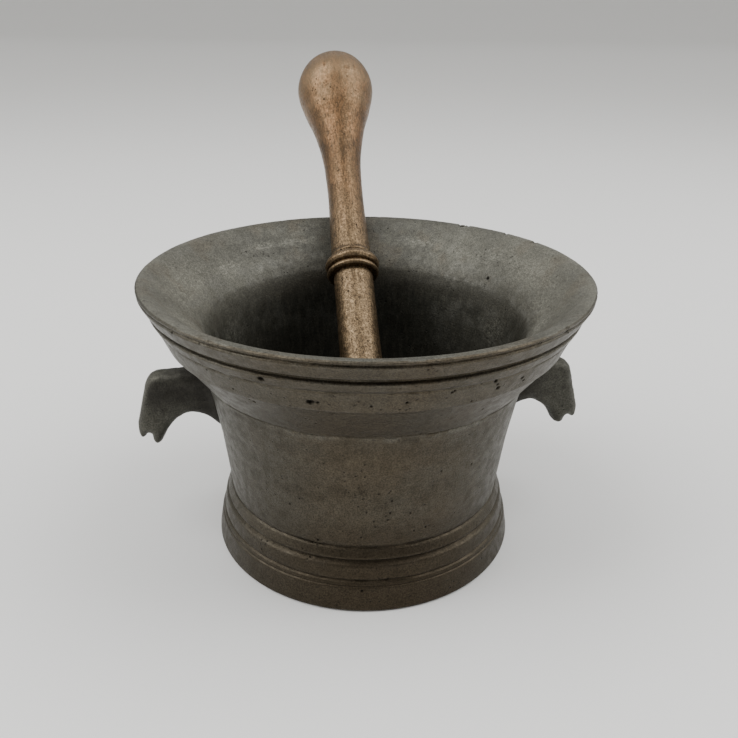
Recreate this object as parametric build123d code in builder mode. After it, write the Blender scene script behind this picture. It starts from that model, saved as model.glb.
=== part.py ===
"""A cast bronze mortar with two lug handles, and its turned bronze pestle leaning in the bowl.

Frame: the origin is the centre of the foot's underside, +Z is up, the lugs point along -X and +X,
and the pestle leans towards +Y against the back of the rim. All sizes are in millimetres.
"""

from build123d import *
import math
import os

# ---- Mortar: radii from the axis, heights above the surface it stands on ----
HEIGHT = 111.7
RIM_R = 85.0
LIP_WIDTH = 3.4
LIP_ROUND = 1.0
LIP_INNER_ROUND = 4.0
LIP_GROOVE = (83.6, 110.2)

# Each moulding is (top radius, top height, bottom radius, bottom height).
RIM_BAND = (85.0, 109.8, 82.2, 104.7)
NECK_BEAD = (81.6, 102.7, 79.8, 99.2)
UPPER_BAND = (79.5, 98.7, 75.7, 90.3)
LOWER_BAND = (74.6, 89.7, 64.4, 75.0)
UPPER_RING = (57.5, 23.0, 57.9, 19.7)
LOWER_RING = (58.6, 18.8, 59.2, 12.9)
FOOT_BEAD = (59.5, 12.3, 60.0, 9.6)
FOOT = (60.5, 9.0, 61.9, 1.0)

UNDERCUT_R = 80.2  # the deep groove under the rim band
UNDERCUT_EDGE = 0.4  # height of that groove's sloping sides
FINE_GROOVE = 0.6  # depth of the shallow turned lines
BODY_TOP = (63.2, 74.4)
BODY_MIDDLE = (59.8, 58.7)
BODY_LOW = (57.1, 39.8)
WAIST = (55.4, 24.2)

# ---- Bowl ----
THROAT = (61.6, 95.4)  # where the flared mouth meets the tapering wall
THROAT_ROUND = 6.0
MOUTH_DISH = 2.0  # how far the mouth hollows below a straight cone
FLOOR_R = 43.8  # radius at which the wall would meet the floor if the corner were sharp
FLOOR_Z = 14.6
FLOOR_ROUND = 14.5

# ---- Lugs: (distance out from the axis, height) ----
LUG_THICKNESS = 11.4
LUG_EDGE = 1.5
LUG_SKEW = 3.4  # degrees that each lug sits behind the true diameter
ROOT_DEPTH = 3.0  # how deep the cast-on root sits in the wall
TOP_ROOT = (62.4, 72.0)
TOP_END = (86.2, 69.8)
END_FACE = (91.3, 50.0)
OUTER_TOE = (89.9, 43.3)
TOE_NOTCH = (87.2, 45.6)
INNER_TOE = (84.0, 41.2)
ARCH_TOP = (70.6, 55.0)
ARCH_ROOT = (58.4, 49.2)
LUG_CORNER = 6.0

# ---- Pestle: (radius, distance along its axis above the top of the collar) ----
LEAN = 50.8  # degrees from the vertical
LEAN_AZIMUTH = 90.7  # degrees from +X
COLLAR_REACH = 52.9  # the collar's top, out from the mortar's axis
COLLAR_HEIGHT = 99.4
KNOB_R = 18.8
KNOB_AT = 102.0
GRIP = [(8.8, 3.0), (8.2, 34.0), (9.3, 59.5), (12.5, 76.5), (16.3, 89.3)]
RING_R = 12.2
SECOND_RING_R = 11.8
RING_GROOVE = (10.3, -5.6)
RING_SIDE_R = 9.9
COLLAR_END = -8.9
SHAFT_R = 8.65
SHAFT_LOW = (9.0, -53.0)
HEAD_R = 15.9
HEAD_AT = -108.0


def mouldings(*bands):
    """The corners of several mouldings from the lowest up, with a fine groove between neighbours."""
    points = []
    for top_r, top_z, low_r, low_z in bands:
        if points:
            below_r, below_z = points[-1]
            points.append((min(below_r, low_r) - FINE_GROOVE, (below_z + low_z) / 2))
        points += [(low_r, low_z), (top_r, top_z)]
    return points


def round_corner(sketch, point, radius):
    """Rounds the corner of a sketch that lies nearest to a point."""
    fillet(sketch.vertices().sort_by_distance((*point, 0))[0], radius)


# ---- Lugs: each is a thick arm that bends down and ends in two blunt toes ----
with BuildSketch() as lug_profile:
    with BuildLine():
        top = Polyline(
            (ARCH_ROOT[0] - ROOT_DEPTH, ARCH_ROOT[1]),
            (TOP_ROOT[0] - ROOT_DEPTH, TOP_ROOT[1] + 0.5),
            TOP_END,
            END_FACE,
            OUTER_TOE,
            TOE_NOTCH,
            INNER_TOE,
        )
        arch = Spline(top @ 1, ARCH_TOP, ARCH_ROOT, tangents=[(-0.5, 1), (-1, -0.8)])
        Line(arch @ 1, top @ 0)
    make_face()
    round_corner(lug_profile, TOP_END, LUG_CORNER)
    round_corner(lug_profile, END_FACE, 4.0)
    round_corner(lug_profile, OUTER_TOE, 1.2)
    round_corner(lug_profile, TOE_NOTCH, 0.8)
    round_corner(lug_profile, INNER_TOE, 1.6)

skew = math.radians(LUG_SKEW)
lug_plane = Plane(
    origin=(0, 0, 0),
    x_dir=(math.cos(skew), math.sin(skew), 0),
    z_dir=(math.sin(skew), -math.cos(skew), 0),
)
with BuildPart() as right_lug:
    with BuildSketch(lug_plane):
        add(lug_profile.sketch)
    extrude(amount=LUG_THICKNESS / 2, both=True)
    sides = right_lug.faces().filter_by(lug_plane)
    fillet(sides.edges(), LUG_EDGE)
right_lug.part.label = "right_lug"

with BuildPart() as left_lug:
    mirror(right_lug.part, about=Plane.YZ)
left_lug.part.label = "left_lug"

# ---- Mortar body: one thick casting with turned mouldings and an open, flared bowl ----
lip_inner = (RIM_R - LIP_WIDTH, HEIGHT)
mouth_middle = ((THROAT[0] + lip_inner[0]) / 2, (THROAT[1] + lip_inner[1]) / 2 - MOUTH_DISH)

with BuildPart() as mortar_body:
    with BuildSketch(Plane.XZ) as section:
        with BuildLine():
            foot = Polyline(
                (0, 0),
                (FOOT[2] - FOOT[3], 0),
                *mouldings(FOOT, FOOT_BEAD, LOWER_RING, UPPER_RING),
                WAIST,
            )
            body = Spline(foot @ 1, BODY_LOW, BODY_MIDDLE, BODY_TOP)
            bands = Polyline(
                body @ 1,
                *mouldings(LOWER_BAND, UPPER_BAND, NECK_BEAD),
                (UNDERCUT_R, NECK_BEAD[1] + UNDERCUT_EDGE),
                (UNDERCUT_R, RIM_BAND[3] - UNDERCUT_EDGE),
                *mouldings(RIM_BAND),
                LIP_GROOVE,
                (RIM_R, 2 * LIP_GROOVE[1] - RIM_BAND[1]),
                (RIM_R, HEIGHT),
                lip_inner,
            )
            mouth = ThreePointArc(bands @ 1, mouth_middle, THROAT)
            Polyline(mouth @ 1, (FLOOR_R, FLOOR_Z), (0, FLOOR_Z), (0, 0))
        make_face()
        round_corner(section, THROAT, THROAT_ROUND)
        round_corner(section, (FLOOR_R, FLOOR_Z), FLOOR_ROUND)
        round_corner(section, (RIM_R, HEIGHT), LIP_ROUND)
        round_corner(section, lip_inner, LIP_INNER_ROUND)
    revolve(axis=Axis.Z)
    add(left_lug.part, mode=Mode.SUBTRACT)
    add(right_lug.part, mode=Mode.SUBTRACT)
mortar_body.part.label = "mortar_body"

# ---- Pestle: one turned bar with a ball grip, a two-ring collar and a rounded pounding head ----
lean = math.radians(LEAN)
azimuth = math.radians(LEAN_AZIMUTH)
up = Vector(0, 0, 1)
outward = Vector(math.cos(azimuth), math.sin(azimuth), 0)
pestle_axis = outward * math.sin(lean) + up * math.cos(lean)
collar_top = outward * COLLAR_REACH + up * COLLAR_HEIGHT
pestle_plane = Plane(
    origin=collar_top,
    x_dir=outward * math.cos(lean) - up * math.sin(lean),
    z_dir=outward.cross(up),
)
diagonal = math.sqrt(0.5)

with BuildPart() as pestle:
    with BuildSketch(pestle_plane):
        with BuildLine():
            head = ThreePointArc(
                (0, HEAD_AT - HEAD_R),
                (HEAD_R * diagonal, HEAD_AT - HEAD_R * diagonal),
                (HEAD_R, HEAD_AT),
            )
            shaft = Spline(head @ 1, SHAFT_LOW, (SHAFT_R, COLLAR_END), tangents=[(0, 1), (0, 1)])
            shoulder = Line(shaft @ 1, (RING_SIDE_R, COLLAR_END))
            low_ring = ThreePointArc(
                shoulder @ 1,
                (SECOND_RING_R, (COLLAR_END + RING_GROOVE[1]) / 2),
                RING_GROOVE,
            )
            high_ring = ThreePointArc(low_ring @ 1, (RING_R, RING_GROOVE[1] / 2), (RING_SIDE_R, 0))
            neck = Line(high_ring @ 1, GRIP[0])
            grip = Spline(neck @ 1, *GRIP[1:], (KNOB_R, KNOB_AT), tangents=[(-0.1, 1), (0, 1)])
            knob = ThreePointArc(
                grip @ 1,
                (KNOB_R * diagonal, KNOB_AT + KNOB_R * diagonal),
                (0, KNOB_AT + KNOB_R),
            )
            Line(knob @ 1, head @ 0)
        make_face()
    revolve(axis=Axis(collar_top, pestle_axis))
pestle.part.label = "pestle"

os.makedirs("parts", exist_ok=True)
export_step(mortar_body.part, "parts/mortar_body.step")
export_step(left_lug.part, "parts/left_lug.step")
export_step(right_lug.part, "parts/right_lug.step")
export_step(pestle.part, "parts/pestle.step")
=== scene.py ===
"""The looks of an old cast bronze mortar and its turned pestle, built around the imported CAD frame.

Outlines are written in millimetres as (radius, height) and turned into metres when a mesh is made.
"""
import math

import bmesh
import bpy
import numpy as np
from mathutils import Matrix, Vector, geometry, noise


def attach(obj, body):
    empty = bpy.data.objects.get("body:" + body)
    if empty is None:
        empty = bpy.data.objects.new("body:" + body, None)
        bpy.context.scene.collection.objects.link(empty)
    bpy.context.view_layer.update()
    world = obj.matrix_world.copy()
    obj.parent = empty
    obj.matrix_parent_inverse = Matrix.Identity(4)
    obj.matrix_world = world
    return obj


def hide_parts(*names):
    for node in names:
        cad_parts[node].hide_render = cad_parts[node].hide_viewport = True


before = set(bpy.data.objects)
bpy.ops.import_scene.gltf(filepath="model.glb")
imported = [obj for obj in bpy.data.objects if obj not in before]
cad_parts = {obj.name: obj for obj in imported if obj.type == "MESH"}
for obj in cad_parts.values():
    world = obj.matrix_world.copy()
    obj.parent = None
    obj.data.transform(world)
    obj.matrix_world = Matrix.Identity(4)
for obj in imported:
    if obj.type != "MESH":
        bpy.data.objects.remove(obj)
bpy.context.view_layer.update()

MM = 0.001  # in metres
SEED = 7
rng = np.random.default_rng(SEED)

# ---- Sizes shared with the CAD part, in millimetres and degrees ----
LEAN = 50.8  # of the pestle, from the vertical
LEAN_AZIMUTH = 90.7  # from +X
COLLAR_REACH = 52.9  # the collar's top, out from the mortar's axis
COLLAR_HEIGHT = 99.4
LUG_SKEW = 3.4  # how far each lug sits behind the true diameter
RIM_RADIUS = 85.0
BOWL_CORNER = (43.8, 14.6)  # where the bowl's wall would meet its floor if the corner were sharp
BOWL_TAPER = 0.2203  # how much the wall widens for each millimetre of height

# ---- Fineness of the meshes, in millimetres unless said ----
MORTAR_SECTORS = 540  # round the axis
PESTLE_SECTORS = 144
FOOT_STEP = 0.9  # between the points of an outline
BAND_STEP = 0.55
COLLAR_STEP = 0.35
LUG_STEP = 0.5
LUG_GRID = 0.62  # between the points of a lug's cheeks
LUG_VOXEL = 0.42


# ---------------------------------------------------------------- outlines
STRAIGHT = 0.02  # radians; a corner that turns less stays as it is
ROUND_ROOM = 0.48  # the largest share of a side that one rounding takes
ROUND_STEP = 18  # degrees of turn between the points of a rounding


def rounded(corners, step):
    """Points about `step` apart along an outline of (x, y, rounding) corners, each corner rounded."""
    points = [np.array(corners[0][:2], float)]
    for before, corner, after in zip(corners[:-2], corners[1:-1], corners[2:]):
        a, p, b = (np.array(c[:2], float) for c in (before, corner, after))
        to_a = (a - p) / np.linalg.norm(a - p)
        to_b = (b - p) / np.linalg.norm(b - p)
        turn = math.pi - math.acos(float(np.clip(to_a @ to_b, -1, 1)))
        radius = corner[2]
        if radius <= 0 or turn < STRAIGHT:
            points.append(p)
            continue
        room = ROUND_ROOM * min(np.linalg.norm(a - p), np.linalg.norm(b - p))
        back = min(radius * math.tan(turn / 2), room)
        start, end = p + to_a * back, p + to_b * back
        count = max(2, math.ceil(math.degrees(turn) / ROUND_STEP))
        for t in np.linspace(0, 1, count + 1):
            points.append((1 - t) ** 2 * start + 2 * t * (1 - t) * p + t * t * end)
    points.append(np.array(corners[-1][:2], float))
    return divided(points, step)


def divided(points, step):
    """The same line with every stretch longer than `step` cut into equal shorter ones."""
    result = [points[0]]
    for a, b in zip(points[:-1], points[1:]):
        count = max(1, math.ceil(np.linalg.norm(b - a) / step - 0.01))
        result += [a + (b - a) * (i + 1) / count for i in range(count)]
    return np.array(result)


def bezier(p0, p1, p2, p3, count):
    """Points along a cubic Bezier curve."""
    t = np.linspace(0, 1, count)[:, None]
    p0, p1, p2, p3 = (np.array(p, float) for p in (p0, p1, p2, p3))
    return (1 - t) ** 3 * p0 + 3 * t * (1 - t) ** 2 * p1 + 3 * t * t * (1 - t) * p2 + t**3 * p3


def smooth_curve(knots, count):
    """A Catmull-Rom curve through (x, y) knots, with `count` points on each stretch."""
    k = np.array(knots, float)
    k = np.vstack([2 * k[0] - k[1], k, 2 * k[-1] - k[-2]])
    points = []
    for i in range(1, len(k) - 2):
        t = np.linspace(0, 1, count, endpoint=False)[:, None]
        a, b, c, d = k[i - 1 : i + 3]
        curve = 2 * b + (c - a) * t
        curve = curve + (2 * a - 5 * b + 4 * c - d) * t**2
        curve = curve + (3 * b - a - 3 * c + d) * t**3
        points.append(0.5 * curve)
    return np.vstack(points + [k[-2:-1]])


def joined(*lines):
    """Several lines end to end, without the repeated point at each join."""
    result = [lines[0]]
    for line in lines[1:]:
        result.append(line[1:])
    return np.vstack(result)


# ---------------------------------------------------------------- meshes
def new_object(name, mesh):
    """An object that shows the mesh, in the scene."""
    piece = bpy.data.objects.new(name, mesh)
    bpy.context.scene.collection.objects.link(piece)
    return piece


def lathe(name, outline, sectors):
    """A closed mesh in millimetres: an outline that begins and ends on the axis, turned about Z."""
    rings = outline[1:-1]
    angle = np.linspace(0, 2 * math.pi, sectors, endpoint=False)
    ring_points = np.stack(
        [
            rings[:, :1] * np.cos(angle),
            rings[:, :1] * np.sin(angle),
            np.repeat(rings[:, 1:], sectors, axis=1),
        ],
        axis=2,
    ).reshape(-1, 3)
    first, last = outline[0], outline[-1]
    points = np.vstack([ring_points, [[0, 0, first[1]], [0, 0, last[1]]]])
    here = np.arange(sectors)
    beside = (here + 1) % sectors
    faces = []
    for row in range(len(rings) - 1):
        low, high = row * sectors, (row + 1) * sectors
        faces += np.stack([low + here, low + beside, high + beside, high + here], axis=1).tolist()
    bottom, top = len(points) - 2, len(points) - 1
    end = (len(rings) - 1) * sectors
    faces += [[bottom, b, a] for a, b in zip(here.tolist(), beside.tolist())]
    faces += [[top, end + a, end + b] for a, b in zip(here.tolist(), beside.tolist())]
    mesh = bpy.data.meshes.new(name)
    mesh.from_pydata(points.tolist(), [], faces)
    mesh.update()
    return mesh


def coordinates(mesh):
    """Where the mesh's vertices are, one row each."""
    co = np.empty(len(mesh.vertices) * 3)
    mesh.vertices.foreach_get("co", co)
    return co.reshape(-1, 3)


def normals(mesh):
    """Which way the mesh faces at its vertices, one row each."""
    n = np.empty(len(mesh.vertices) * 3)
    mesh.vertex_normals.foreach_get("vector", n)
    return n.reshape(-1, 3)


def set_coordinates(mesh, co):
    """Moves the mesh's vertices."""
    mesh.vertices.foreach_set("co", co.ravel())
    mesh.update()


def store(mesh, name, values):
    """Keeps one number per vertex, which the materials read by name."""
    layer = mesh.attributes.new(name, "FLOAT", "POINT")
    layer.data.foreach_set("value", np.asarray(values, np.float32))


def waves(points, size, shift=0.0):
    """Smooth noise from about -1 to 1, with features about `size` across."""
    scaled = points / size + shift
    return np.array([noise.noise(Vector(p)) for p in scaled])


def step_up(x, low, high):
    """0 below low, 1 above high, smooth between."""
    t = np.clip((x - low) / (high - low), 0, 1)
    return t * t * (3 - 2 * t)


def refine_near(mesh, centres, reach, cuts):
    """Divides the faces that lie near any of the centres, so that small marks can be real geometry."""
    bm = bmesh.new()
    bm.from_mesh(mesh)
    bm.faces.ensure_lookup_table()
    middle = np.array([f.calc_center_median()[:] for f in bm.faces])
    chosen = np.zeros(len(middle), bool)
    for centre, radius in zip(centres, reach):
        chosen |= np.linalg.norm(middle - centre, axis=1) < radius
    edges = {e for i in np.flatnonzero(chosen) for e in bm.faces[i].edges}
    bmesh.ops.subdivide_edges(bm, edges=list(edges), cuts=cuts, use_grid_fill=True)
    bm.to_mesh(mesh)
    bm.free()
    mesh.update()


def neighbour_mean(mesh, values):
    """The mean of each vertex's neighbours' values."""
    ends = np.empty(len(mesh.edges) * 2, int)
    mesh.edges.foreach_get("vertices", ends)
    a, b = ends.reshape(-1, 2).T
    total = np.zeros_like(values, dtype=float)
    count = np.zeros(len(values))
    np.add.at(total, a, values[b])
    np.add.at(total, b, values[a])
    np.add.at(count, a, 1)
    np.add.at(count, b, 1)
    count = np.maximum(count, 1)
    return total / (count[:, None] if values.ndim == 2 else count)


# Grime here also stands for painted shade in the hollows.
FULL_RELIEF = 0.10  # millimetres out of or into the surface that count as full wear or grime


def store_relief(mesh):
    """Keeps how far each vertex stands out of or lies in the surface around it, for wear, and for grime and
    painted shade in the hollows.
    """
    co, n = coordinates(mesh), normals(mesh)
    around = co
    for _ in range(3):
        around = neighbour_mean(mesh, around)
    depth = ((around - co) * n).sum(axis=1)
    depth = neighbour_mean(mesh, depth)
    store(mesh, "wear", np.clip(-depth / FULL_RELIEF, 0, 1))
    store(mesh, "grime_and_shade", np.clip(depth / FULL_RELIEF, 0, 1))


def store_place(mesh):
    """Keeps where each vertex lies, in millimetres, for the materials' patterns."""
    layer = mesh.attributes.new("place", "FLOAT_VECTOR", "POINT")
    layer.data.foreach_set("vector", np.asarray(coordinates(mesh), np.float32).ravel())


def press_pits(mesh, pits):
    """Presses small round-bottomed pits (place, radius, depth) into the mesh and marks them."""
    centres = [np.array(place, float) for place, _, _ in pits]
    refine_near(mesh, centres, [radius * 1.9 + 0.3 for _, radius, _ in pits], 3)
    co, n = coordinates(mesh), normals(mesh)
    mark = np.zeros(len(co))
    push = np.zeros(len(co))
    ragged = 1 + 0.28 * waves(co, 0.9, 3.1)
    for centre, (_, radius, depth) in zip(centres, pits):
        reach = np.linalg.norm(co - centre, axis=1) / (radius * ragged)
        push = np.maximum(push, depth * (1 - step_up(reach, 0.25, 1.0)))
        mark = np.maximum(mark, min(1, 0.35 + depth) * (1 - step_up(reach, 0.35, 1.3)))
    co -= n * push[:, None]
    set_coordinates(mesh, co)
    store(mesh, "pit", mark)


def finish_mesh(name, mesh, material, body, slot, *nodes):
    """Puts a finished millimetre mesh in the scene in metres, in place of its CAD nodes."""
    mesh.transform(Matrix.Scale(MM, 4))
    for polygon in mesh.polygons:
        polygon.use_smooth = True
    mesh.materials.append(material)
    piece = new_object(name, mesh)
    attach(piece, body)
    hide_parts(*nodes)


def around_axis(azimuth, radius, z):
    """The point at an azimuth in degrees, a radius and a height."""
    a = math.radians(azimuth)
    return (radius * math.cos(a), radius * math.sin(a), z)


def azimuth_and_radius(co):
    """Where each point lies round the axis, in degrees, and how far from it."""
    return np.degrees(np.arctan2(co[:, 1], co[:, 0])), np.hypot(co[:, 0], co[:, 1])


# ---------------------------------------------------------------- mortar body
def mortar_outline():
    """The mortar's section from the middle of its underside, up the outside and down into the bowl."""
    underside = np.array([[0, 0], [20, 0], [40, 0], [50, 0], [55.5, 0]])
    foot = rounded(
        [
            (55.5, 0, 0),
            (60.9, 0, 0),
            (61.9, 0.7, 0.8),
            (60.35, 9.7, 0.8),
            (59.7, 10.1, 0.25),
            (59.9, 10.6, 0.6),
            (59.5, 11.5, 0.6),
            (58.3, 12.1, 0.25),
            (59.2, 12.8, 0.8),
            (58.3, 18.0, 1.6),
            (56.2, 19.2, 0.5),
            (57.6, 20.4, 1.1),
            (55.9, 23.6, 0.6),
            (54.95, 24.1, 0.12),
            (55.5, 24.6, 0),
        ],
        FOOT_STEP,
    )
    waist = [(55.5, 24.6), (56.2, 31.5), (57.1, 39.8)]
    body = smooth_curve(waist + [(58.3, 49.5), (59.8, 58.7), (61.2, 66.5), (63.1, 74.2)], 6)
    bands = rounded(
        [
            (63.1, 74.2, 0),
            (62.8, 74.5, 0.1),
            (63.5, 74.8, 0.3),
            (64.3, 76.0, 1.2),
            (68.9, 82.2, 6.0),
            (74.3, 89.3, 0.5),
            (74.8, 89.9, 0.3),
            (75.9, 90.6, 0.9),
            (79.1, 98.2, 0.9),
            (78.9, 98.9, 0.5),
            (80.0, 99.7, 0.9),
            (81.6, 102.6, 0.6),
            (80.3, 103.3, 0.5),
            (80.5, 104.4, 0.4),
            (82.2, 104.8, 0.7),
            (84.9, 109.5, 0.7),
            (83.9, 110.1, 0.35),
            (84.8, 110.6, 0.3),
            (85.0, 111.1, 0.7),
            (84.2, 111.7, 0.7),
            (82.9, 111.7, 0),
        ],
        BAND_STEP,
    )
    lip = [(82.9, 111.7), (81.3, 111.25), (79.0, 109.9)]
    mouth = smooth_curve(lip + [(74.5, 106.0), (70.0, 101.9), (65.6, 97.7), (62.3, 93.2)], 4)
    wall = smooth_curve([(62.3, 93.2), (60.4, 87.8), (57.5, 77.0), (52.3, 53.4), (48.2, 34.8)], 5)
    floor = bezier((48.2, 34.8), (45.8, 23.8), (42.0, 14.9), (30.0, 14.6), 12)
    middle = np.array([[30.0, 14.6], [20, 14.5], [10, 14.4], [0, 14.4]])
    return joined(underside, foot, body, bands, mouth, wall, floor, middle)


# Turned lines that are worn away in places: (lowest height, highest height, how much is worn, seed).
WORN_LINES = [
    (11.5, 12.7, 0.35, 1.0),
    (23.7, 24.6, 0.4, 2.0),
    (74.0, 74.9, 0.6, 3.0),
    (89.3, 90.7, 0.35, 4.0),
    (98.4, 99.5, 0.6, 5.0),
    (109.6, 110.7, 0.3, 6.0),
]

# Chips in the rim: (azimuth in degrees, half width, depth).
RIM_CHIPS = [(51.2, 1.3, 1.1), (49.3, 0.7, 0.5), (35.5, 0.5, 0.5), (23.7, 0.6, 0.45)]

# Casting pits on the outside: (azimuth in degrees, height, radius, depth).
OUTSIDE_PITS = [
    (-119.2, 101.2, 1.25, 0.8),
    (-124.8, 88.6, 0.7, 0.5),
    (-109.1, 94.0, 1.15, 0.8),
    (-108.4, 94.4, 0.8, 0.5),
    (-107.2, 94.2, 0.7, 0.45),
    (-95.3, 93.7, 0.6, 0.4),
    (-93.1, 92.2, 0.45, 0.25),
    (-87.4, 94.9, 0.65, 0.5),
    (-77.4, 97.2, 0.6, 0.45),
    (-76.8, 97.7, 0.5, 0.4),
    (-66.3, 98.2, 0.8, 0.7),
    (-65.3, 96.5, 0.6, 0.5),
    (-64.6, 94.8, 0.85, 0.7),
    (-71.2, 91.7, 0.5, 0.3),
    (-84.5, 108.4, 0.5, 0.25),
    (-141.8, 109.4, 0.7, 0.4),
    (-107.8, 89.2, 0.5, 0.25),
    (-104.2, 89.0, 0.5, 0.25),
    (-63.2, 83.1, 0.55, 0.3),
    (-57.0, 95.5, 0.9, 0.5),
    (-55.8, 94.0, 0.7, 0.4),
    (-129.0, 93.0, 0.55, 0.3),
    (-86.9, 45.8, 0.5, 0.35),
    (-91.6, 49.5, 0.45, 0.3),
    (-99.7, 49.0, 0.45, 0.3),
    (-69.8, 55.8, 0.5, 0.3),
    (-87.3, 40.5, 0.5, 0.35),
    (-87.9, 37.3, 0.45, 0.3),
    (-88.7, 39.2, 0.4, 0.25),
    (-77.6, 30.3, 0.5, 0.35),
    (-72.9, 30.9, 0.6, 0.35),
    (-113.9, 25.9, 0.6, 0.35),
    (-97.5, 29.2, 0.5, 0.3),
    (-96.9, 8.8, 0.6, 0.35),
]

# The one pit in the mouth: (azimuth, radius from the axis, height), and its own radius and depth.
MOUTH_PIT = (29.0, 64.4, 96.8)
MOUTH_PIT_SIZE = (1.0, 0.8)

# Small pits all round, as such a casting has, on the wall or on the bands.
SMALL_PITS = 20
WALL_HEIGHTS = (28, 72)
BAND_HEIGHTS = (78, 108)

# Light scuffs and pale patches in the bowl, and painted highlights on the flare (the entries from 170 round
# to -152 degrees on the left and from -38 to 8 degrees on the right):
# (azimuth in degrees, height, half width in degrees, half height, strength).
SCUFFS_AND_HIGHLIGHTS = [
    (144.0, 101.0, 7, 2.6, 0.9),
    (124.0, 104.5, 6, 1.2, 1.0),
    (112.0, 104.2, 7, 1.0, 0.9),
    (64.0, 104.0, 10, 1.3, 0.9),
    (46.0, 102.5, 7, 1.6, 0.7),
    (33.0, 104.0, 5, 3.0, 0.6),
    (-10.0, 99.0, 9, 4.0, 0.9),
    (8.0, 104.0, 22, 5.0, 0.75),
    (-38.0, 97.5, 8, 4.0, 0.8),
    (-26.0, 98.0, 10, 3.5, 1.2),
    (-152.0, 100.0, 10, 3.5, 1.2),
    (170.0, 102.5, 20, 6.0, 0.95),
    (-160.0, 103.0, 12, 5.0, 0.8),
    (158.0, 78.0, 8, 7.0, 0.5),
    (15.0, 80.0, 9, 8.0, 0.5),
]


# The outside of the mortar without its fine grooves: (height, radius).
OUTSIDE = [
    (0, 62),
    (9, 60.5),
    (12.3, 59.6),
    (12.9, 59.2),
    (18.8, 58.4),
    (19.7, 57.9),
    (24.4, 55.4),
    (39.8, 57.1),
    (58.7, 59.8),
    (74.4, 63.2),
    (75.2, 64.5),
    (89.6, 74.4),
    (90.4, 75.8),
    (98.7, 79.4),
    (102.7, 81.6),
    (104.7, 82.2),
    (109.8, 84.9),
    (111, 85),
]

# The surface of the flared mouth: (height, radius).
MOUTH = [(94, 61.9), (98, 65.4), (102, 70.0), (106, 74.5), (110, 79.2), (112, 84.0)]


def outer_radius(z):
    """The mortar's outside radius at a height, for placing marks."""
    heights, radii = zip(*OUTSIDE)
    return float(np.interp(z, heights, radii))


def wear_lines(mesh):
    """Fills stretches of the fine turned lines, as long use and polishing do."""
    co = coordinates(mesh)
    _, radius = azimuth_and_radius(co)
    for low, high, worn, seed in WORN_LINES:
        at_low, at_high = outer_radius(low - 0.1), outer_radius(high + 0.1)
        outside = (co[:, 2] > low) & (co[:, 2] < high) & (radius > outer_radius(low) - 3)
        here = co[outside]
        filled = at_low + (at_high - at_low) * (here[:, 2] - low) / (high - low)
        patch = waves(here * (1, 1, 0), 17.0, seed) + 0.5 * waves(here * (1, 1, 0), 5.0, seed)
        share = worn * step_up(patch, -0.35, 0.35)
        new = radius[outside] + np.maximum(filled - radius[outside], 0) * share
        co[outside, :2] *= (new / radius[outside])[:, None]
    set_coordinates(mesh, co)


def age_mortar(mesh):
    """Gives the cast and turned surface its uneven form: waves, dents, nicks and a chipped rim."""
    co, n = coordinates(mesh), normals(mesh)
    azimuth, radius = azimuth_and_radius(co)
    free = step_up(co[:, 2], 0.0, 2.0)
    lift = 0.16 * waves(co, 38.0) + 0.07 * waves(co, 11.0, 5.0) + 0.035 * waves(co, 3.2, 9.0)
    bowl = (radius < 60) & (co[:, 2] > 14)
    lift[bowl] *= 1.8
    top = step_up(co[:, 2], 108.5, 111.0) * step_up(radius, 81.0, 83.5)
    for where, wide, deep in RIM_CHIPS:
        gap = np.abs(azimuth - where) * math.pi / 180 * RIM_RADIUS
        lift -= deep * top * (1 - step_up(gap, wide * 0.6, wide * 1.5))
    nicks = waves(co * (1, 1, 0), 2.4, 30.0)
    lift -= 0.22 * top * step_up(nicks, 0.42, 0.75)
    co += n * (lift * free)[:, None]
    co[:, 2] = np.maximum(co[:, 2], 0)
    set_coordinates(mesh, co)


def mark_mortar(mesh):
    """Keeps where the pale scuffs and painted highlights, the flared mouth, the dark bowl with its painted
    shade, and the two sides with their painted sheen are.
    """
    co = coordinates(mesh)
    azimuth, radius = azimuth_and_radius(co)
    z = co[:, 2]
    wall = BOWL_CORNER[0] + (z - BOWL_CORNER[1]) * BOWL_TAPER
    heights, radii = zip(*MOUTH)
    in_bowl = (radius < wall + 1.5) & (z > 12)
    in_mouth = (z > 90) & (radius < np.interp(z, heights, radii) + 1.4)
    inside = in_bowl | in_mouth
    # The two sides, where the materials paint sheen and highlights.
    sideways = np.cos(np.radians(azimuth)) ** 2
    # The dark bowl stands partly for painted shade where the wall turns down from the light; its edge lies
    # lower on the left side and higher on the right.
    deeper = np.where(np.abs(azimuth) > 90, 4, -2) * sideways
    dusty = step_up(z + deeper, 80, 100.5)
    store(mesh, "bowl", np.where(inside, 1 - dusty, 0))
    store(mesh, "mouth", np.where(inside, dusty, 0))
    store(mesh, "side", sideways)
    scuff_and_highlight = np.zeros(len(co))
    for where, height, wide, tall, strength in SCUFFS_AND_HIGHLIGHTS:
        turn = (azimuth - where + 180) % 360 - 180
        near = np.exp(-((turn / wide) ** 2) - ((z - height) / tall) ** 2)
        scuff_and_highlight = np.maximum(scuff_and_highlight, strength * near)
    store(mesh, "scuff_and_highlight", np.where(inside, scuff_and_highlight, 0))


def mortar_pits():
    """The pits that show, and small random ones all round."""
    pits = [(around_axis(a, outer_radius(z), z), radius, depth) for a, z, radius, depth in OUTSIDE_PITS]
    pits.append((around_axis(*MOUTH_PIT), *MOUTH_PIT_SIZE))
    for _ in range(SMALL_PITS):
        azimuth = rng.uniform(-180, 180)
        z = rng.choice([rng.uniform(*WALL_HEIGHTS), rng.uniform(*BAND_HEIGHTS)])
        place = around_axis(azimuth, outer_radius(z), z)
        pits.append((place, rng.uniform(0.35, 0.6), rng.uniform(0.15, 0.35)))
    return pits


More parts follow.
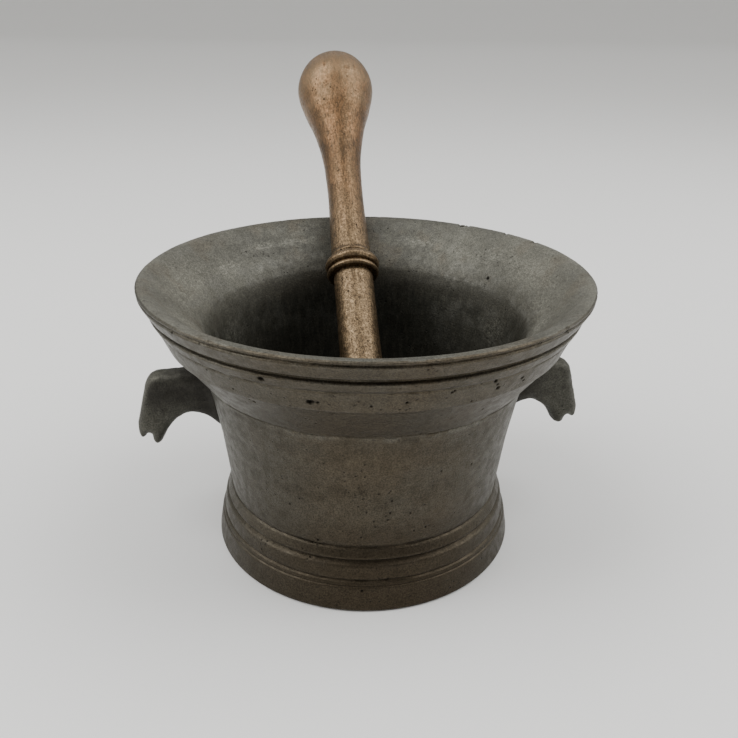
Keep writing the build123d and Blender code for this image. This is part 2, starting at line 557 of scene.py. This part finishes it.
def make_mortar(material):
    """The mortar's body, from foot to rim, with its bowl."""
    mesh = lathe("mortar_bronze_body", mortar_outline(), MORTAR_SECTORS)
    wear_lines(mesh)
    age_mortar(mesh)
    press_pits(mesh, mortar_pits())
    store_relief(mesh)
    mark_mortar(mesh)
    store_place(mesh)
    finish_mesh("mortar_bronze_body", mesh, material, "mortar", "mortar_bronze", "mortar_body")


# ---------------------------------------------------------------- lugs
LUG_HALF = 5.75  # half the thickness
LUG_ROUND = 4.6  # how softly the edges are rounded
ROOT_SPREAD = 1.8  # how much each cheek swells at the root
ROOT_LOW = (53.8, 45.0)  # the root's lowest corner, inside the wall
OUTER_EDGE = (92.5, 48.0)  # where the outer edge turns into the outer toe
UNDER_ARM = [(75.6, 51.2), (70.4, 53.6), (64.2, 52.0), (58.6, 48.5)]  # the arch under the arm

# The two lugs are cast a little differently. By side: the outer toe, the notch and the inner toe.
TOES = {
    -1: (
        [OUTER_EDGE, (92.5, 45.2), (92.1, 43.0), (91.3, 41.7), (90.3, 41.4), (89.6, 42.2)],
        [(88.9, 43.3), (87.9, 43.6), (87.2, 43.1)],
        [(87.1, 41.3), (86.4, 39.3), (85.1, 38.6), (83.7, 39.3), (82.5, 41.4), (81.0, 44.2)],
    ),
    1: (
        [OUTER_EDGE, (92.5, 45.3), (92.1, 43.4), (91.4, 42.5), (90.4, 42.4), (89.6, 43.2)],
        [(88.9, 43.5), (87.9, 43.5)],
        [(87.3, 42.6), (86.6, 41.0), (85.3, 40.0), (83.8, 40.1), (82.6, 41.2), (81.5, 43.2)],
    ),
}
ARCH_DROP = {-1: 0.7, 1: 1.2}  # how far the arch lies below UNDER_ARM
TOP_DROP = {-1: 0.0, 1: 0.5}  # how far the arm's top lies below its highest place
# How dark the painted shade on each lug's cheeks is, from 0 to 1.
CHEEK_SHADE = {-1: 0.95, 1: 0.3}  # how dirty the cheeks are, from 0 to 1


def lug_outline(side):
    """A lug seen from the front, in its own plane: a thick arm bent down to two blunt toes."""
    outer_toe, notch, inner_toe = TOES[side]
    top = TOP_DROP[side]
    shell = rounded(
        [
            (*ROOT_LOW, 0),
            (56.8, 72.3 - top, 0),
            (74.0, 71.0 - top, 20.0),
            (86.6, 69.8 - top, 6.5),
            (*OUTER_EDGE, 0),
        ],
        LUG_STEP,
    )
    toes = smooth_curve(outer_toe + notch + inner_toe, 4)
    under = [(79.1, 46.8)] + [(x, z - ARCH_DROP[side]) for x, z in UNDER_ARM]
    arch = smooth_curve(inner_toe[-1:] + under + [ROOT_LOW], 8)
    return np.vstack([joined(shell, divided(toes, LUG_STEP)), divided(arch, LUG_STEP)[1:-1]])


def in_loop(points, loop):
    """Which 2D points lie inside a closed line."""
    result = np.zeros(len(points), bool)
    for (x0, z0), (x1, z1) in zip(loop, np.roll(loop, -1, axis=0)):
        crosses = (z0 > points[:, 1]) != (z1 > points[:, 1])
        if z0 != z1:
            at = x0 + (points[:, 1] - z0) * (x1 - x0) / (z1 - z0)
            result ^= crosses & (points[:, 0] < at)
    return result


def distance_to(points, loop):
    """How far each 2D point is from a closed line."""
    best = np.full(len(points), np.inf)
    for a, b in zip(loop, np.roll(loop, -1, axis=0)):
        along = b - a
        t = np.clip(((points - a) @ along) / (along @ along), 0, 1)
        best = np.minimum(best, np.linalg.norm(points - a - t[:, None] * along, axis=1))
    return best


def lug_skin(name, side):
    """A lug as a closed millimetre mesh on the right: flat cheeks, softly rounded edges, a thicker root."""
    loop = lug_outline(side)
    x, z = np.meshgrid(np.arange(54, 93, LUG_GRID), np.arange(39, 73, LUG_GRID))
    grid = np.stack([x.ravel(), z.ravel()], axis=1)
    inside = in_loop(grid, loop) & (distance_to(grid, loop) > 0.35)
    flat = [Vector(p) for p in loop] + [Vector(p) for p in grid[inside]]
    border = [(i, (i + 1) % len(loop)) for i in range(len(loop))]
    verts, _, tris, _, _, _ = geometry.delaunay_2d_cdt(flat, border, [], 1, 1e-5)
    points = np.array([v[:] for v in verts])
    deep = distance_to(points, loop)
    deep[: len(loop)] = 0
    half = LUG_HALF + ROOT_SPREAD * (1 - step_up(points[:, 0], 58, 67)) ** 2
    edge = LUG_ROUND - np.minimum(deep, LUG_ROUND)
    y = half - LUG_ROUND + np.sqrt(LUG_ROUND**2 - edge**2)
    front = np.stack([points[:, 0], -y, points[:, 1]], axis=1)
    back = front * (1, -1, 1)
    count = len(points)
    faces = [tuple(t) for t in tris] + [tuple(i + count for i in reversed(t)) for t in tris]
    faces += [(b, a, a + count, b + count) for a, b in border]
    mesh = bpy.data.meshes.new(name)
    mesh.from_pydata(np.vstack([front, back]).tolist(), [], faces)
    mesh.update()
    return mesh


def remeshed(mesh, voxel, rounds):
    """One even skin around the mesh, slightly smoothed."""
    shape = new_object("build", mesh)
    skin = shape.modifiers.new("skin", "REMESH")
    skin.mode = "VOXEL"
    skin.voxel_size = voxel
    soften = shape.modifiers.new("soften", "SMOOTH")
    soften.factor = 0.5
    soften.iterations = rounds
    graph = bpy.context.evaluated_depsgraph_get()
    result = bpy.data.meshes.new_from_object(shape.evaluated_get(graph))
    result.name = mesh.name
    bpy.data.objects.remove(shape)
    return result


def make_lug(side, material):
    """One lug: the right one for side 1, the left one for side -1."""
    node = "right_lug" if side > 0 else "left_lug"
    mesh = remeshed(lug_skin("bronze_" + node, side), LUG_VOXEL, 3)
    co, n = coordinates(mesh), normals(mesh)
    shift = 50.0 * side
    lift = 0.2 * waves(co, 9.0, shift) + 0.09 * waves(co, 3.0, shift) + 0.04 * waves(co, 1.3, shift)
    co += n * lift[:, None]
    skew = math.radians(LUG_SKEW)
    along, across = math.cos(skew), math.sin(skew)
    turned = co @ np.array([[along, across, 0], [-across, along, 0], [0, 0, 1]])
    set_coordinates(mesh, turned * (side, 1, 1))
    if side < 0:
        mesh.flip_normals()
    store_relief(mesh)
    # Painted shade where the lug meets the wall, and a dark painted band on the cheeks under the arm's top,
    # darker on the left lug.
    root = 1 - step_up(co[:, 0] - 0.35 * (co[:, 2] - 50), 60, 78)
    cheek = step_up(np.abs(n[:, 1]), 0.6, 0.95) * np.exp(-(((co[:, 2] - 63) / 8) ** 2))
    store(mesh, "root", np.maximum(root, cheek * CHEEK_SHADE[side]))
    store(mesh, "lug", np.ones(len(co)))
    store_place(mesh)
    finish_mesh("bronze_" + node, mesh, material, "mortar", "mortar_bronze", node)


# ---------------------------------------------------------------- pestle
def pestle_outline():
    """The pestle's section: radius, and distance along its axis above the top of the collar."""
    head = [(0, -123.6), (6.0, -122.5), (11.3, -118.9), (14.7, -113.6), (15.6, -108.0)]
    shaft = [(15.2, -100.0), (12.6, -86.0), (10.1, -70.0), (9.0, -53.0), (8.7, -36.0), (8.65, -16.0)]
    lower = smooth_curve(head + shaft + [(8.65, -9.5)], 5)
    collar = rounded(
        [
            (8.65, -9.5, 0),
            (8.5, -8.8, 0.2),
            (10.7, -8.7, 0.8),
            (11.7, -7.5, 1.2),
            (11.0, -6.1, 0.6),
            (9.7, -5.6, 0.25),
            (11.4, -5.0, 0.9),
            (12.3, -3.2, 1.6),
            (11.3, -1.2, 1.4),
            (9.6, -0.2, 0.5),
            (9.0, 0.4, 0.2),
            (9.4, 1.0, 0.5),
            (8.9, 2.4, 0),
        ],
        COLLAR_STEP,
    )
    grip = smooth_curve(
        [
            (8.9, 2.4),
            (8.6, 10.0),
            (8.25, 25.5),
            (8.25, 42.5),
            (9.35, 59.5),
            (12.5, 76.5),
            (16.3, 89.3),
            (18.8, 102.0),
            (16.3, 112.0),
            (10.8, 118.6),
            (4.5, 121.2),
            (0, 121.6),
        ],
        7,
    )
    return joined(lower, collar, grip)


def pestle_frame():
    """The matrix that lays the pestle's own axis in the mortar, in millimetres."""
    lean, azimuth = math.radians(LEAN), math.radians(LEAN_AZIMUTH)
    outward = Vector((math.cos(azimuth), math.sin(azimuth), 0))
    up = Vector((0, 0, 1))
    axis = outward * math.sin(lean) + up * math.cos(lean)
    across = outward * math.cos(lean) - up * math.sin(lean)
    beside = axis.cross(across)
    top = outward * COLLAR_REACH + up * COLLAR_HEIGHT
    columns = Matrix((across, beside, axis)).transposed().to_4x4()
    return Matrix.Translation(top) @ columns


# Pits in the pestle: (turn about its axis in degrees, distance along it, radius, depth).
PESTLE_PITS = [(200, 14, 0.45, 0.3), (170, 30, 0.4, 0.25), (215, 62, 0.5, 0.3), (150, 84, 0.5, 0.3)]
SMALL_PESTLE_PITS = 60


def on_pestle(outline, turn, along):
    """The point of the pestle's surface at a turn about its axis and a distance along it."""
    nearest = outline[np.argmin(np.abs(outline[:, 1] - along))]
    return around_axis(turn, nearest[0], along)


def pestle_pits(outline):
    """The pits that show, and small random ones all over."""
    pits = [(on_pestle(outline, turn, along), radius, depth) for turn, along, radius, depth in PESTLE_PITS]
    for _ in range(SMALL_PESTLE_PITS):
        along = rng.uniform(-90, 112)
        place = on_pestle(outline, rng.uniform(0, 360), along)
        pits.append((place, rng.uniform(0.2, 0.42), rng.uniform(0.1, 0.25)))
    return pits


def make_pestle(material):
    """The pestle, made upright and then laid in the bowl."""
    outline = pestle_outline()
    mesh = lathe("bronze_pestle", outline, PESTLE_SECTORS)
    co, n = coordinates(mesh), normals(mesh)
    lift = 0.10 * waves(co, 17.0, 70.0) + 0.05 * waves(co, 5.0, 71.0) + 0.03 * waves(co, 1.7, 72.0)
    lift -= 0.12 * step_up(waves(co, 2.1, 73.0), 0.35, 0.7)
    set_coordinates(mesh, co + n * lift[:, None])
    press_pits(mesh, pestle_pits(outline))
    store_relief(mesh)
    store_place(mesh)
    mesh.transform(pestle_frame())
    finish_mesh("bronze_pestle", mesh, material, "pestle", "pestle_bronze", "pestle")


# ---------------------------------------------------------------- materials
# Colours of the mortar. A pair is mixed in blotches.
PATINA = ((0.071, 0.058, 0.039), (0.066, 0.058, 0.043))
DARK_BLOTCH = (0.050, 0.039, 0.025)
WIPED_STREAK = (0.053, 0.043, 0.029)
FOOT_BROWN = (0.042, 0.032, 0.020)
# Painted sheen on the body's two sides.
BODY_SIDE_SHEEN = (0.068, 0.067, 0.055)
LUG_PATINA = ((0.072, 0.070, 0.056), (0.050, 0.048, 0.038))
MOUTH_DUST = ((0.084, 0.082, 0.066), (0.067, 0.065, 0.053))
# Painted highlight on the two sides of the mouth.
MOUTH_SIDE_SHEEN = (0.142, 0.138, 0.112)
BROWN_STAIN = (0.092, 0.076, 0.052)
# Soot and painted shade deep in the bowl, then painted light on its two sides.
BOWL_SOOT_AND_SHADE = ((0.021, 0.021, 0.016), (0.044, 0.042, 0.032))
BOWL_SIDE_SHEEN = ((0.066, 0.063, 0.048), (0.046, 0.044, 0.033))
# Pale scuffs, and painted highlights on the flare.
PALE_SCUFF_AND_HIGHLIGHT = (0.235, 0.230, 0.190)
WORN_EDGE = (0.150, 0.148, 0.130)
# Grime and painted shade in hollows.
GRIME_AND_SHADE = (0.012, 0.010, 0.006)
# Painted shade at the lug roots and cheeks.
ROOT_SHADE = (0.014, 0.012, 0.009)
PIT_BLACK = (0.007, 0.006, 0.004)

# Colours of the pestle.
GRIP_BRONZE = ((0.192, 0.106, 0.050), (0.142, 0.084, 0.041))
SHAFT_BRONZE = (0.152, 0.108, 0.061)
DRAWN_STREAK = (0.074, 0.048, 0.025)
BRIGHT_EDGE = (0.29, 0.205, 0.12)
PESTLE_GRIME_AND_SHADE = (0.018, 0.012, 0.007)
PESTLE_PIT = (0.02, 0.014, 0.009)

FLOOR_PAPER = (0.86, 0.86, 0.85)


class Graph:
    """Short calls that add nodes to a material."""

    def __init__(self, name):
        self.material = bpy.data.materials.new(name)
        self.material.use_nodes = True
        self.tree = self.material.node_tree
        self.shader = self.tree.nodes["Principled BSDF"]

    def put(self, socket, value):
        """Gives a socket a number or colour, or links another node's output to it."""
        if isinstance(value, bpy.types.NodeSocket):
            self.tree.links.new(value, socket)
        elif isinstance(value, tuple) and len(value) == 3 and socket.type == "RGBA":
            socket.default_value = (*value, 1)
        else:
            socket.default_value = value

    def attribute(self, name):
        """A value that the mesh keeps under this name."""
        node = self.tree.nodes.new("ShaderNodeAttribute")
        node.attribute_name = name
        return node.outputs["Vector" if name == "place" else "Fac"]

    def stretched(self, vector, scale):
        """The vector times a scale on each axis, which lengthens a pattern where the scale is small."""
        node = self.tree.nodes.new("ShaderNodeVectorMath")
        node.operation = "MULTIPLY"
        self.put(node.inputs[0], vector)
        node.inputs[1].default_value = scale
        return node.outputs["Vector"]

    def noise(self, vector, size, detail=3.0, rough=0.55):
        """Noise from 0 to 1 with features about `size` millimetres across."""
        node = self.tree.nodes.new("ShaderNodeTexNoise")
        self.put(node.inputs["Vector"], vector)
        node.inputs["Scale"].default_value = 1 / size
        node.inputs["Detail"].default_value = detail
        node.inputs["Roughness"].default_value = rough
        return node.outputs["Fac"]

    def specks(self, vector, size, radius):
        """Scattered round dots, 1 at the middle of each and 0 between."""
        node = self.tree.nodes.new("ShaderNodeTexVoronoi")
        self.put(node.inputs["Vector"], vector)
        node.inputs["Scale"].default_value = 1 / size
        return self.between(node.outputs["Distance"], radius * 0.35, radius, 1.0, 0.0)

    def between(self, value, low, high, to_low=0.0, to_high=1.0):
        """Carries low..high smoothly to to_low..to_high and holds the ends."""
        node = self.tree.nodes.new("ShaderNodeMapRange")
        node.interpolation_type = "SMOOTHSTEP"
        self.put(node.inputs["Value"], value)
        node.inputs["From Min"].default_value = low
        node.inputs["From Max"].default_value = high
        node.inputs["To Min"].default_value = to_low
        node.inputs["To Max"].default_value = to_high
        return node.outputs["Result"]

    def math(self, operation, a, b):
        """One operation on two numbers."""
        node = self.tree.nodes.new("ShaderNodeMath")
        node.operation = operation
        self.put(node.inputs[0], a)
        self.put(node.inputs[1], b)
        return node.outputs["Value"]

    def times(self, *values):
        """The product of numbers."""
        result = values[0]
        for value in values[1:]:
            result = self.math("MULTIPLY", result, value)
        return result

    def mix(self, share, a, b, way="MIX"):
        """Colour a with this share of colour b over it."""
        node = self.tree.nodes.new("ShaderNodeMix")
        node.data_type = "RGBA"
        node.blend_type = way
        self.put(node.inputs["Factor"], share)
        self.put(node.inputs["A"], a)
        self.put(node.inputs["B"], b)
        return node.outputs["Result"]

    def shade(self, colour, factor):
        """The colour made darker or paler by a factor."""
        return self.mix(1.0, colour, factor, "MULTIPLY")

    def bump(self, height, strength):
        """A bump of a height in millimetres."""
        node = self.tree.nodes.new("ShaderNodeBump")
        node.inputs["Strength"].default_value = strength
        node.inputs["Distance"].default_value = MM
        self.put(node.inputs["Height"], height)
        return node.outputs["Normal"]

    def height_of(self, vector):
        """The vector's Z."""
        node = self.tree.nodes.new("ShaderNodeSeparateXYZ")
        self.put(node.inputs["Vector"], vector)
        return node.outputs["Z"]

    def finish(self, colour, roughness, metallic, normal):
        """The material, with its shader fed."""
        self.put(self.shader.inputs["Base Color"], colour)
        self.put(self.shader.inputs["Roughness"], roughness)
        self.put(self.shader.inputs["Metallic"], metallic)
        self.put(self.shader.inputs["Normal"], normal)
        return self.material


def floor_paper():
    """Plain pale paper."""
    g = Graph("floor")
    g.put(g.shader.inputs["Base Color"], FLOOR_PAPER)
    g.put(g.shader.inputs["Roughness"], 0.6)
    return g.material


def cast_surface(g, place):
    """The fine relief of old cast bronze: grain, soft lumps, faint turning marks and pinholes."""
    grain = g.noise(place, 0.9, 4.0, 0.65)
    lumps = g.noise(place, 5.0, 2.0)
    turning = g.noise(g.stretched(place, (0.06, 0.06, 1.6)), 1.0, 2.0)
    holes = g.specks(place, 2.3, 0.24)
    holes = g.times(holes, g.between(g.noise(place, 9.0, 3.0), 0.50, 0.64))
    height = g.math("ADD", g.times(grain, 0.12), g.times(lumps, 0.2))
    height = g.math("ADD", height, g.times(turning, 0.06))
    height = g.math("SUBTRACT", height, g.times(holes, 0.2))
    return g.bump(height, 0.8), holes


def outside_colour(g, place, z):
    """Brown and grey-green patina with fine wiped streaks round the body, browner and darker towards the
    foot, and a painted sheen on the two sides.
    """
    cloud = g.between(g.noise(place, 26.0, 3.0), 0.34, 0.66)
    blotch = g.between(g.noise(place, 6.0, 4.0, 0.65), 0.4, 0.66)
    streak = g.between(g.noise(g.stretched(place, (0.16, 0.16, 1.0)), 1.3, 4.0, 0.65), 0.42, 0.62)
    colour = g.mix(cloud, *PATINA)
    colour = g.mix(g.times(blotch, 0.45), colour, DARK_BLOTCH)
    colour = g.mix(g.times(streak, 0.35), colour, WIPED_STREAK)
    # Browner and darker towards the foot.
    colour = g.mix(g.between(z, 16.0, 44.0, 0.9, 0.0), colour, FOOT_BROWN)
    # Painted sheen: the body's two sides paler and greyer, as the side lights make them.
    side_sheen = g.times(g.attribute("side"), g.between(z, 5.0, 60.0, 0.4, 0.75))
    colour = g.mix(side_sheen, colour, BODY_SIDE_SHEEN)
    return g.mix(g.attribute("lug"), colour, g.mix(blotch, *LUG_PATINA))


def mouth_colour(g, place, blotch):
    """Pale dusty bronze with brown stains, and a painted highlight that makes it palest at the two sides.
    """
    colour = g.mix(blotch, *MOUTH_DUST)
    # Painted highlight on the mouth's two sides.
    colour = g.mix(g.times(g.attribute("side"), 0.75), colour, MOUTH_SIDE_SHEEN)
    stain = g.between(g.noise(place, 15.0, 2.0), 0.52, 0.66)
    colour = g.mix(g.times(stain, 0.4), colour, BROWN_STAIN)
    mottle = g.between(g.noise(place, 1.5, 5.0, 0.75), 0.34, 0.66, 0.84, 1.14)
    cloud = g.between(g.noise(place, 22.0, 4.0, 0.6), 0.36, 0.64, 0.82, 1.10)
    return g.shade(colour, g.times(mottle, cloud))


def bowl_colour(g, place, blotch):
    """Dark bronze with brushed uprights, partly soot and partly painted shade, and a little paler at the
    two sides as painted light.
    """
    streaks = g.noise(g.stretched(place, (1, 1, 0.10)), 1.6, 4.0, 0.6)
    # Near-black soot and painted shade in the bowl.
    colour = g.mix(g.between(streaks, 0.40, 0.74), *BOWL_SOOT_AND_SHADE)
    # Painted light: paler at the two sides.
    return g.mix(g.times(g.attribute("side"), 0.4), colour, g.mix(blotch, *BOWL_SIDE_SHEEN))


def inside_colour(g, place, outside):
    """The outside colour with the mouth, the bowl with its painted shade, and their pale scuffs and painted
    highlights laid over it.
    """
    blotch = g.between(g.noise(place, 8.0, 4.0, 0.6), 0.36, 0.66)
    colour = g.mix(g.attribute("mouth"), outside, mouth_colour(g, place, blotch))
    colour = g.mix(g.attribute("bowl"), colour, bowl_colour(g, place, blotch))
    fine = g.noise(g.stretched(place, (1, 1, 2.5)), 2.0, 5.0, 0.75)
    share = g.between(fine, 0.44, 0.62, 0.12, 1.0)
    # Pale scuffs, and painted highlights on the flare's front left and front right.
    return g.mix(g.times(g.attribute("scuff_and_highlight"), share, 0.85), colour, PALE_SCUFF_AND_HIGHLIGHT)


def handled_colour(g, place, z, colour, dark):
    """The colour with pale worn edges, paler at the two sides as a painted highlight, grime and painted
    shade in the grooves, painted shade at the lug roots and cheeks, black pits and a fine grain.
    """
    patchy = g.between(g.noise(place, 6.0, 2.0), 0.40, 0.6)
    # Worn edges show paler at the two sides: a painted highlight along the moulding edges.
    edge_sheen_by_side = g.math("ADD", 0.3, g.times(g.attribute("side"), 0.3))
    share = g.times(edge_sheen_by_side, g.between(z, 20.0, 40.0, 0.15, 1.0))
    colour = g.mix(g.times(g.attribute("wear"), patchy, share), colour, WORN_EDGE)
    # Grime and painted shade in the grooves and hollows.
    colour = g.mix(g.times(g.attribute("grime_and_shade"), 0.8), colour, GRIME_AND_SHADE)
    # Painted shade at the lug roots and on the lug cheeks.
    colour = g.mix(g.times(g.attribute("root"), 0.9), colour, ROOT_SHADE)
    colour = g.mix(g.times(dark, 0.92), colour, PIT_BLACK)
    return g.shade(colour, g.between(g.noise(place, 0.6, 4.0, 0.8), 0.3, 0.7, 0.52, 1.48))


def mortar_metal():
    """Dark, handled bronze: grey-green on worn edges and, as painted sheen, on the two sides; browner and
    darker on the foot; black in the pits.
    """
    g = Graph("mortar_bronze")
    place = g.attribute("place")
    z = g.height_of(place)
    mouth, bowl, lug = g.attribute("mouth"), g.attribute("bowl"), g.attribute("lug")
    normal, holes = cast_surface(g, place)
    dark = g.math("MAXIMUM", g.attribute("pit"), g.times(holes, 0.6))
    colour = inside_colour(g, place, outside_colour(g, place, z))
    colour = handled_colour(g, place, z, colour, dark)
    roughness = g.between(g.noise(place, 3.5, 4.0), 0.35, 0.65, 0.40, 0.54)
    dull = g.math("ADD", g.math("ADD", mouth, bowl), lug)
    roughness = g.math("ADD", roughness, g.times(dull, 0.10))
    roughness = g.math("ADD", roughness, g.times(g.math("MAXIMUM", dark, g.attribute("grime_and_shade")), 0.3))
    metallic = g.math("SUBTRACT", 0.88, g.times(mouth, 0.42))
    metallic = g.math("SUBTRACT", metallic, g.times(bowl, 0.2))
    metallic = g.math("SUBTRACT", metallic, g.times(lug, 0.2))
    return g.finish(colour, roughness, metallic, normal)


def pestle_metal():
    """Warmer bronze kept bright by the hand: drawn streaks on the grip, a coarse grain on the shaft."""
    g = Graph("pestle_bronze")
    place = g.attribute("place")
    normal, holes = cast_surface(g, place)
    shaft = g.between(g.height_of(place), -8.0, 62.0, 1.0, 0.0)
    cloud = g.between(g.noise(g.stretched(place, (1, 1, 0.4)), 6.0, 4.0, 0.6), 0.38, 0.62)
    colour = g.mix(cloud, *GRIP_BRONZE)
    colour = g.mix(g.times(shaft, 0.9), colour, SHAFT_BRONZE)
    drawn = g.noise(g.stretched(place, (1, 1, 0.22)), 0.9, 4.0, 0.7)
    colour = g.mix(g.times(g.between(drawn, 0.46, 0.60), 0.75), colour, DRAWN_STREAK)
    speckle = g.between(g.noise(place, 0.8, 3.0, 0.75), 0.38, 0.62, 0.4, 1.6)
    colour = g.mix(g.math("ADD", 0.35, g.times(shaft, 0.5)), colour, g.shade(colour, speckle))
    colour = g.mix(g.times(g.attribute("wear"), 0.4), colour, BRIGHT_EDGE)
    # Grime and painted shade in the pestle's grooves.
    colour = g.mix(g.times(g.attribute("grime_and_shade"), 0.95), colour, PESTLE_GRIME_AND_SHADE)
    dark = g.math("MAXIMUM", g.attribute("pit"), g.times(holes, 0.8))
    colour = g.mix(g.times(dark, 0.85), colour, PESTLE_PIT)
    roughness = g.between(g.noise(place, 1.5, 4.0), 0.35, 0.65, 0.30, 0.50)
    return g.finish(colour, roughness, 0.82, normal)


mortar_bronze = mortar_metal()
pestle_bronze = pestle_metal()

make_mortar(mortar_bronze)
make_lug(1, mortar_bronze)
make_lug(-1, mortar_bronze)
make_pestle(pestle_bronze)


# ---------------------------------------------------------------- floor, light and camera
# In metres.
FLOOR_HALF_WIDTH = 12.0
FLOOR_FRONT = -9.0
FLOOR_BACK = 7.0  # where the floor starts to curve up
FLOOR_CURVE = 2.0
BACKDROP_HEIGHT = 6.0
SOFTBOX_TARGET = (0, 0, 0.08)
SOFTBOX_SIZE = (0.8, 1.6)

# The surrounding light's strength in front of the object, and beside and behind it.
FRONT_LIGHT = 0.34
SURROUNDING_LIGHT = 0.98

CAMERA_PLACE = (-0.0322, -0.2744, 0.1988)
CAMERA_TURN = (65.01, -0.76, -6.64)  # degrees about X, Y and Z
CAMERA_LENS = 36.88  # millimetres, on a sensor 36 mm wide


def softbox(name, place, power):
    """A large soft lamp aimed at the object."""
    light = bpy.data.lights.new(name, "AREA")
    light.shape = "RECTANGLE"
    light.size, light.size_y = SOFTBOX_SIZE
    light.energy = power
    lamp = bpy.data.objects.new(name, light)
    lamp.location = place
    lamp.rotation_euler = (Vector(SOFTBOX_TARGET) - Vector(place)).to_track_quat("-Z", "Y").to_euler()
    bpy.context.scene.collection.objects.link(lamp)


def sweep_floor():
    """A pale floor that curves up far behind the object, as studio paper does."""
    line = [(FLOOR_FRONT, 0.0), (FLOOR_BACK, 0.0)]
    for turn in range(6, 91, 6):
        t = math.radians(turn)
        line.append((FLOOR_BACK + FLOOR_CURVE * math.sin(t), FLOOR_CURVE - FLOOR_CURVE * math.cos(t)))
    line.append((FLOOR_BACK + FLOOR_CURVE, BACKDROP_HEIGHT))
    points = [(x, y, z) for y, z in line for x in (-FLOOR_HALF_WIDTH, FLOOR_HALF_WIDTH)]
    faces = [(2 * i, 2 * i + 1, 2 * i + 3, 2 * i + 2) for i in range(len(line) - 1)]
    mesh = bpy.data.meshes.new("floor")
    mesh.from_pydata(points, [], faces)
    for polygon in mesh.polygons:
        polygon.use_smooth = True
    mesh.materials.append(floor_paper())
    new_object("floor", mesh)


def studio_world():
    """Even pale light from all round, dimmer from the front, where -Y is."""
    world = bpy.data.worlds.new("studio")
    world.use_nodes = True
    tree = world.node_tree
    background = tree.nodes["Background"]
    background.inputs["Color"].default_value = (1.0, 0.99, 0.965, 1)
    where = tree.nodes.new("ShaderNodeTexCoord")
    split = tree.nodes.new("ShaderNodeSeparateXYZ")
    tree.links.new(where.outputs["Generated"], split.inputs["Vector"])
    dim = tree.nodes.new("ShaderNodeMapRange")
    dim.interpolation_type = "SMOOTHSTEP"
    tree.links.new(split.outputs["Y"], dim.inputs["Value"])
    dim.inputs["From Min"].default_value = -0.95
    dim.inputs["From Max"].default_value = 0.1
    dim.inputs["To Min"].default_value = FRONT_LIGHT
    dim.inputs["To Max"].default_value = SURROUNDING_LIGHT
    tree.links.new(dim.outputs["Result"], background.inputs["Strength"])
    bpy.context.scene.world = world


def place_camera():
    """The camera, close in front of the object and a little above it."""
    data = bpy.data.cameras.new("camera")
    data.sensor_width = 36
    data.lens = CAMERA_LENS
    data.clip_start = 0.01
    camera = bpy.data.objects.new("camera", data)
    camera.location = CAMERA_PLACE
    camera.rotation_euler = [math.radians(turn) for turn in CAMERA_TURN]
    bpy.context.scene.collection.objects.link(camera)
    bpy.context.scene.camera = camera


sweep_floor()
studio_world()
softbox("left_softbox", (-0.9, -0.1, 1.1), 15.5)
softbox("right_softbox", (0.9, -0.1, 1.1), 13.5)
place_camera()
